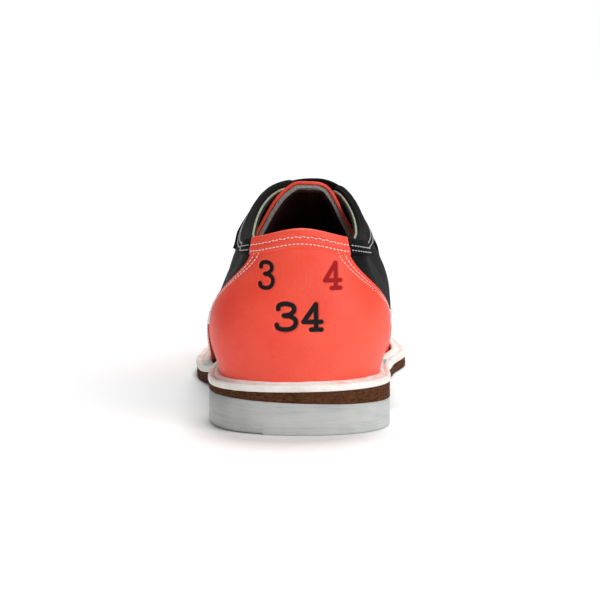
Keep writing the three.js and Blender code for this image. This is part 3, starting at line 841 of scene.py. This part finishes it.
bm = bmesh.new()
v_way = np.linspace(0.03, 0.93, 300)
for side in (1, -1):
    for row in SEAM_ROWS:
        station = side * foxing_edge(v_way, side)
        rise = v_way * top_rise(station)
        step = np.linalg.norm(last(station + 0.02, rise) - last(station - 0.02, rise), axis=-1) / 0.04
        station = station - side * row / step
        seat = np.full_like(v_way, OVERLAY - THREAD_SEAT)
        stitches(bm, *last_line(station, v_way * top_rise(station), seat))
built("foxing_stitches", bm, pale_thread, "shoe", slot="coral_leather")


# Back strip: a coral strip folded over the top of the heel, from outside to inside, and sewn down
# with two rows of stitching, of which the upper one zigzags slightly.
STRIP = OVERLAY + 0.4
STRIP_WALL = 0.7
STRIP_INSIDE = -0.5
STRIP_DROPS = (5.4, 6)
STRIP_ROWS = (2.2, 4.3)
ZIGZAG = 0.2


def over_edge(station, v, outer, inner, outer_drop, inner_drop, crown=0.9):
    """A strip folded over the topline: v runs up the outside, over the edge and down the inside."""
    top = top_rise(station)
    down_outside = rise_of(outer_drop, station, top)
    down_inside = rise_of(inner_drop, station, top)
    fold = np.clip((v - 0.42) / 0.16, 0, 1) * math.pi
    lift = rise_of(crown, station, top)
    rise = np.where(v < 0.42, top - down_outside * (1 - v / 0.42),
                    np.where(v > 0.58, top - down_inside * (v - 0.58) / 0.42, top + lift * np.sin(fold)))
    offset = blend(outer, inner, (1 - np.cos(fold)) / 2)
    return rise, offset


def back_strip(u, v):
    slant = 0.06 * smooth(v, 0.0, 0.42)
    station = blend(-FOXING_TOP[-1] - 0.04 + slant, FOXING_TOP[1] + 0.04 - slant, u)
    rise, offset = over_edge(station, v, STRIP, STRIP_INSIDE, *STRIP_DROPS, 1.0)
    flat = last(station, rise)
    sewn = sum(np.exp(-(((0.42 - v) / 0.42 * STRIP_DROPS[0] - drop) / 0.6) ** 2) for drop in STRIP_ROWS)
    edge = 0.35 * (1 - smooth(v, 0, 0.07))
    return on_last(station, rise, offset - edge + (0.12 * ripple(flat, 9, 31) - 0.25 * sewn) * (v < 0.42))


made("heel_binding", draped(120, 60, back_strip, STRIP_WALL, 0.2), coral, "shoe", "heel_binding",
     slot="coral_leather")
bm = bmesh.new()
station = np.linspace(-FOXING_TOP[-1], FOXING_TOP[1], 29)
for drop, sway in zip(STRIP_ROWS, (ZIGZAG, 0.0)):
    down = drop + sway * (-1.0) ** np.arange(len(station))
    rise = top_rise(station) - rise_of(down, station, top_rise(station))
    stitches(bm, *last_line(station, rise, np.full_like(station, OVERLAY + 0.25)), radius=0.23)
built("back_strip_stitches", bm, pale_thread, "shoe", slot="coral_leather")

# Collar bands: black webbing along the topline and down the throat on each side, sewn with two
# rows of grey thread. A pale raw edge of the padding shows between the band and the lining.
webbing = cloth_finish("black_webbing", "1a181a", "090809", 0.0009, 0.8, 0.0002)
BAND_WALL = 0.8
BAND_INSIDE = 1.7
BAND_LAP = 0.02
BAND_ROWS = (1.0, 2.6)


def band_width(station):
    away = np.abs(station)
    return blend(blend(4.6, 5.5, smooth(away, 1, 3)), 11, smooth(away, 3, 5))


bm_rows = bmesh.new()
for name, side in (("medial", 1), ("lateral", -1)):
    rear = FOXING_TOP[side] + BAND_LAP
    front = VAMP_STATION - 0.3

    def band(u, v, side=side, rear=rear, front=front):
        station = blend(rear, front, u) if side > 0 else blend(-front, -rear, u)
        top = top_rise(station)
        fold = np.clip((v - 0.7) / 0.3, 0, 1) * math.pi
        rise = top - rise_of(band_width(station), station, top) * np.clip(1 - v / 0.7, 0, 1)
        rise = rise + rise_of(0.8, station, top) * np.sin(fold)
        flat = last(station, rise)
        offset = blend(OVERLAY, BAND_INSIDE, (1 - np.cos(fold)) / 2)
        return on_last(station, rise, offset + 0.06 * ripple(flat, 5, 41))

    made(f"facing_{name}", draped(240, 36, band, BAND_WALL, 0.2), webbing.material, "shoe",
         f"facing_{name}", slot="black_webbing")
    for inset in BAND_ROWS:
        away = np.linspace(rear + 0.06, front - 0.05, 500)
        station = side * away
        top = top_rise(station)
        rise = top - rise_of(band_width(station) - inset, station, top)
        line = last_line(station, rise, np.full_like(station, OVERLAY))
        stitches(bm_rows, *line, pitch=1.5, length=1.2)
built("band_stitches", bm_rows, grey_thread, "shoe", slot="black_webbing")

EDGE_OUT = 1.6
EDGE_IN = 0.75
EDGE_WALL = 0.4
edge_finish = Finish("raw_edge", 0.9)
frayed = edge_finish.noise(0.0008, 4, 0.7)
edge_finish.set(Base_Color=edge_finish.mix(frayed.between(0.3, 0.7), linear("6f7a64"), linear("b3bca0")))
edge_finish.bump(frayed, 0.0002)


def raw_edge(u, v):
    station = blend(-5.9, 5.9, u)
    top = top_rise(station)
    rise, offset = over_edge(station, v, EDGE_OUT, EDGE_IN, 4, 4, 0.75)
    return on_last(station, rise, offset)


made("collar_padding", draped(360, 30, raw_edge, EDGE_WALL, 0.1), edge_finish.material, "shoe",
     "collar_padding", slot="felt")

# Vamp: the coral front of the shoe, drawn over the toe in one piece. Its rear edge lies over the
# quarters and is held by a double row of stitching.
VAMP_LAP = 0.24
VAMP_WALL = 1.2
LAP_RISE = 1.0


def vamp(u, v):
    rise = 2 * v
    edge = vamp_line(1 - np.abs(1 - rise)) - VAMP_LAP
    station = blend(edge, TOE, u)
    base = np.minimum(rise, 2 - rise)
    signed = np.where(rise > 1, -station, station)
    flat = last(signed, base)
    lap = LAP_RISE * (1 - smooth(station, edge + 0.1, edge + 0.45))
    bend = 0.21 * ripple(flat * (0.35, 1.3, 0.6), 17, 52) * (1 - smooth(flat[..., 1], 165, 195))
    return on_last(signed, base, LEATHER + lap + bend + 0.15 * ripple(flat, 30, 51))


def smooth_toe(bm):
    """Evens out the spot on the toe where all the stations meet."""
    crest = Vector(on_last(TOE, 1.0, LEATHER))
    bmesh.ops.pointmerge(bm, verts=[v for v in bm.verts if (v.co - crest).length < 0.0025],
                         merge_co=crest)
    near = [v for v in bm.verts if (v.co - crest).length < 0.009]
    for _ in range(40):
        bmesh.ops.smooth_vert(bm, verts=near, factor=0.5, use_axis_x=True, use_axis_y=True,
                              use_axis_z=True)


sheet = draped(170, 220, vamp, VAMP_WALL, 0.3)
bmesh.ops.remove_doubles(sheet[0], verts=sheet[0].verts, dist=2e-5)
smooth_toe(sheet[0])
made("vamp", sheet, coral, "shoe", "vamp", slot="coral_leather")
bm = bmesh.new()
for inset in (0.07, 0.14):
    rise = np.linspace(0.1, 1.9, 500)
    edge = vamp_line(1 - np.abs(1 - rise)) - VAMP_LAP + inset
    signed = np.where(rise > 1, -edge, edge)
    base = np.minimum(rise, 2 - rise)
    stitches(bm, *last_line(signed, base, np.full_like(rise, LEATHER + LAP_RISE)))
built("vamp_stitches", bm, pale_thread, "shoe", slot="coral_leather")

# Side stripes: a strip of white coated leather along each side, from the heel cover to the vamp, with
# a pale blue line down its middle, stitched along both edges.
STRIPE_ENDS = (3.3, 6.25)
STRIPE_HEIGHTS = (32, 24)
STRIPE_HALF = 4
STRIPE_WALL = 0.95
stripe_finish = Finish("white_stripe", 0.4)
crack = stripe_finish.noise(0.003, 4, 0.6)
stripe_uv = stripe_finish.node("UVMap", {"uv_map": "UVMap"})
across = stripe_finish.node("SeparateXYZ", {}, {0: stripe_uv}, out=1)
line = across.between(0.0033, 0.0036) * (1 - across.between(0.0044, 0.0047))
stripe_tone = stripe_finish.mix(crack.between(0.4, 0.75), linear("dfe3ec"), linear("c9cedb"))
stripe_finish.set(Base_Color=stripe_finish.mix(line * 0.8, stripe_tone, linear("7f97c4")))
stripe_finish.bump(crack, 0.0001)

bm_rows = bmesh.new()
for name, side in (("medial", 1), ("lateral", -1)):
    ends = STRIPE_ENDS[::side]

    def stripe(u, v, side=side, ends=ends):
        away = blend(*ends, u)
        station = side * away
        middle = blend(*STRIPE_HEIGHTS, smooth(away, 3.0, 6.8))
        rise = blend(rise_at_height(station, middle - STRIPE_HALF),
                     rise_at_height(station, middle + STRIPE_HALF), v)
        return on_last(station, rise, np.full_like(u, OVERLAY - 0.15))

    made(f"side_stripe_{name}", draped(160, 16, stripe, STRIPE_WALL, 0.2), stripe_finish.material,
         "shoe", f"side_stripe_{name}", slot="white_stripe")
    for level in (0.13, 0.87):
        run = np.linspace(0.02, 0.98, 300)
        points = stripe(run, np.full_like(run, level))
        ways = outward(side * blend(*ends, run), np.full_like(run, 0.3))
        stitches(bm_rows, points, ways, pitch=1.5, length=1.2)
built("stripe_stitches", bm_rows, white_thread, "shoe", slot="white_stripe")

# Straps: black webbing, sewn to the medial side, drawn over the tongue and pressed down on the
# lateral side, where hooks under the tip catch a patch of loops.
pile_finish = Finish("pile", 0.95, Sheen_Weight=0.3)
pile = pile_finish.cells(0.0006)
pile_finish.set(Base_Color=pile_finish.mix(pile.between(0.1, 0.6), linear("2c2b2e"), linear("0d0c0e")))
pile_finish.bump(1 - pile, 0.0004)

STRAP = 6.5
STRAP_WALL = 1.2
TIP_THINNING = 1.3
FLANK_HUG = 0.2
HOOK = 4.9
HOOK_WALL = 0.5
LOOP = 4.2
LOOP_WALL = 0.9
HINGE_LEAN = Vector((-0.35, 0, 0.94))
STRAPS = {
    "upper": {"stations": (4.94, 5.52), "root": 45, "tip": 50, "base": 7, "patch": 10},
    "lower": {"stations": (5.78, 6.24), "root": 38, "tip": 41, "base": 6, "patch": 8},
}


def strap_place(strap, station, rise):
    side, low = np.where(rise > 1, -station, station), np.minimum(rise, 2 - rise)
    end = rise_at_height(side, np.where(rise > 1, strap["tip"], strap["root"]))
    flank = smooth(low, end + rise_of(strap["patch"], side, end), rise_at_width(side, 7))
    thin = 1 - smooth(low - end, 0, rise_of(7, side, end))
    return on_last(side, low, STRAP - TIP_THINNING * thin - FLANK_HUG * flank)


for name, strap in STRAPS.items():
    first, second = strap["stations"]

    def strap_spots(u, v, strap=strap, first=first, second=second):
        tip = smooth(v, 0.9, 1.0) * 0.12
        station = blend(first + tip * (second - first), second - tip * (second - first), u)
        start = rise_at_height(station, strap["root"])
        start = start - rise_of(strap["base"], station, start)
        end = 2 - rise_at_height(-station, strap["tip"])
        return strap_place(strap, station, blend(start, end, v))

    piece = made(f"strap_{name}", draped(36, 200, strap_spots, STRAP_WALL, 0.35), webbing.material, None,
                 f"strap_{name}", f"strap_base_{name}", slot="black_webbing")
    hinge = next(j for j in frame["joints"] if j["name"] == f"{name}_strap_hinge")
    pivot = Vector(hinge["pos_m"])
    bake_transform(piece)
    rows = {"shoe": bmesh.new(), f"{name}_strap": bmesh.new()}
    run = np.linspace(0.02, 0.98, 400)
    past_hinge = (strap_spots(np.full_like(run, 0.5), run) - np.array(pivot)) @ np.array(HINGE_LEAN)
    sewn = run[past_hinge < -0.0035]
    free = run[past_hinge > 0.0045]
    lines = [("shoe", np.full_like(sewn, level), sewn) for level in (0.12, 0.88)]
    lines += [("shoe", np.linspace(0.14, 0.86, 40), np.full(40, sewn[k])) for k in (1, -1)]
    lines += [(f"{name}_strap", np.full_like(free, level), free) for level in (0.12, 0.88)]
    for body, across, along in lines:
        spots = strap_spots(across, along)
        ways = spots * (1, 0, 1) - (pivot.x * 0.2, 0, 0.02)
        stitches(rows[body], spots, ways, pitch=1.6, length=1.25)
    for body, bm in rows.items():
        built(f"strap_{name}_stitches_{body}", bm, grey_thread, body, slot="black_webbing")

    def patch(offset, margin, strap=strap, first=first, second=second):
        """A patch on the lateral side, a margin inside the place where the strap's tip lies."""
        def spots(u, v):
            station = -blend(second - 0.05, first + 0.05, u)
            base = rise_at_height(station, strap["tip"])
            rise = base + rise_of(blend(margin, strap["patch"] - margin, v), station, base)
            return on_last(station, rise, offset)
        return spots

    made(f"hook_patch_{name}", draped(30, 20, patch(HOOK, 1), HOOK_WALL, 0.15), pile_finish.material,
         f"{name}_strap", f"hook_patch_{name}", slot="black_webbing")
    made(f"loop_patch_{name}", draped(30, 24, patch(LOOP, 0), LOOP_WALL, 0.15), pile_finish.material,
         "shoe", f"loop_patch_{name}", slot="black_webbing")

# Tongue: coral leather outside, a layer of grey felt, and a cloth lining coloured a dark burgundy, which
# is painted shade: the coral lining as it looks in the shade inside the tongue's top. The layers end one
# behind the other at the top, so all three edges show.
TONGUE_TOP = 4.62
TONGUE_REAR = TONGUE_TOP - 0.09
TONGUE_END = 6.6
TONGUE_REACH = (0.92, 0.5)
TONGUE_DIP = 0.9
# painted shade: the lining's dark burgundy colours stand for the coral lining darkened by the shade
# inside the tongue
painted_shade_lining = cloth_finish("coral_lining_painted_shade", "4a1f22", "220d10", 0.0006)


def crest_share(station, rise):
    """0 on the throat's sides and 1 along the crest of the foot."""
    low = np.minimum(rise, 2 - rise)
    side = np.where(rise > 1, -station, station)
    return smooth(low, rise_at_width(side, 7), 1)


def tongue_sheet(set_back, offset, seed):
    def spots(u, v):
        station = blend(TONGUE_REAR + set_back, TONGUE_END, u)
        reach = blend(*TONGUE_REACH, smooth(station, TONGUE_TOP, TONGUE_END))
        low_side = rise_at_reach(station, reach)
        high_side = 2 - rise_at_reach(-station, reach)
        rise = blend(low_side, high_side, v)
        dip = TONGUE_DIP * (1 - smooth(station, 5.55, 5.95)) * crest_share(station, rise)
        side, low = np.where(rise > 1, -station, station), np.minimum(rise, 2 - rise)
        return on_last(side, low, offset - dip + 0.12 * ripple(last(side, low), 14, seed))
    return spots


made("tongue_face", draped(90, 120, tongue_sheet(0, -0.9, 61), 1.1, 0.3), coral, "tongue",
     "tongue_face", "tongue_binding", slot="coral_leather")
made("tongue_padding", draped(90, 120, tongue_sheet(0.02, -2.05, 62), 1.4, 0.3), felt_finish.material,
     "tongue", "tongue_padding", slot="felt")
made("tongue_lining", draped(90, 120, tongue_sheet(0.06, -3.55, 63), 0.8, 0.2), painted_shade_lining.material,
     "tongue", "tongue_lining", slot="lining_cloth")

# Studio: a sheet of pale paper as the floor, a white sky, and two broad soft lights. The key stands
# at the right behind the camera, and the overhead one leans from the toe's side.
FLOOR_HALF = 6
SKY_LIGHT = 0.34
floor_finish = Finish("floor", 0.9)
paper = floor_finish.noise(0.3, 2)
floor_finish.set(Base_Color=floor_finish.mix(paper, linear("f2f2f2"), linear("f6f6f6")))
bm = bmesh.new()
bmesh.ops.create_grid(bm, x_segments=2, y_segments=2, size=FLOOR_HALF)
built("floor", bm, floor_finish.material, None)

world = bpy.data.worlds.new("studio")
world.use_nodes = True
sky = world.node_tree.nodes["Background"]
sky.inputs["Color"].default_value = (1, 1, 1, 1)
seen = world.node_tree.nodes.new("ShaderNodeLightPath")
strength = world.node_tree.nodes.new("ShaderNodeMapRange")
strength.inputs["To Min"].default_value = SKY_LIGHT
strength.inputs["To Max"].default_value = 1.0
world.node_tree.links.new(seen.outputs["Is Camera Ray"], strength.inputs["Value"])
world.node_tree.links.new(strength.outputs["Result"], sky.inputs["Strength"])
bpy.context.scene.world = world


def skylight(name, place, angle, power):
    """A broad, soft light from a direction, which lights the whole floor evenly."""
    light = bpy.data.objects.new(name, bpy.data.lights.new(name, "SUN"))
    light.data.angle = math.radians(angle)
    light.data.energy = power
    light.rotation_euler = Vector(place).to_track_quat("Z", "Y").to_euler()
    bpy.context.scene.collection.objects.link(light)


skylight("key", (0.8, -0.8, 0.75), 50, 1.8)
skylight("overhead", (0.1, 0.5, 1.0), 30, 2.1)
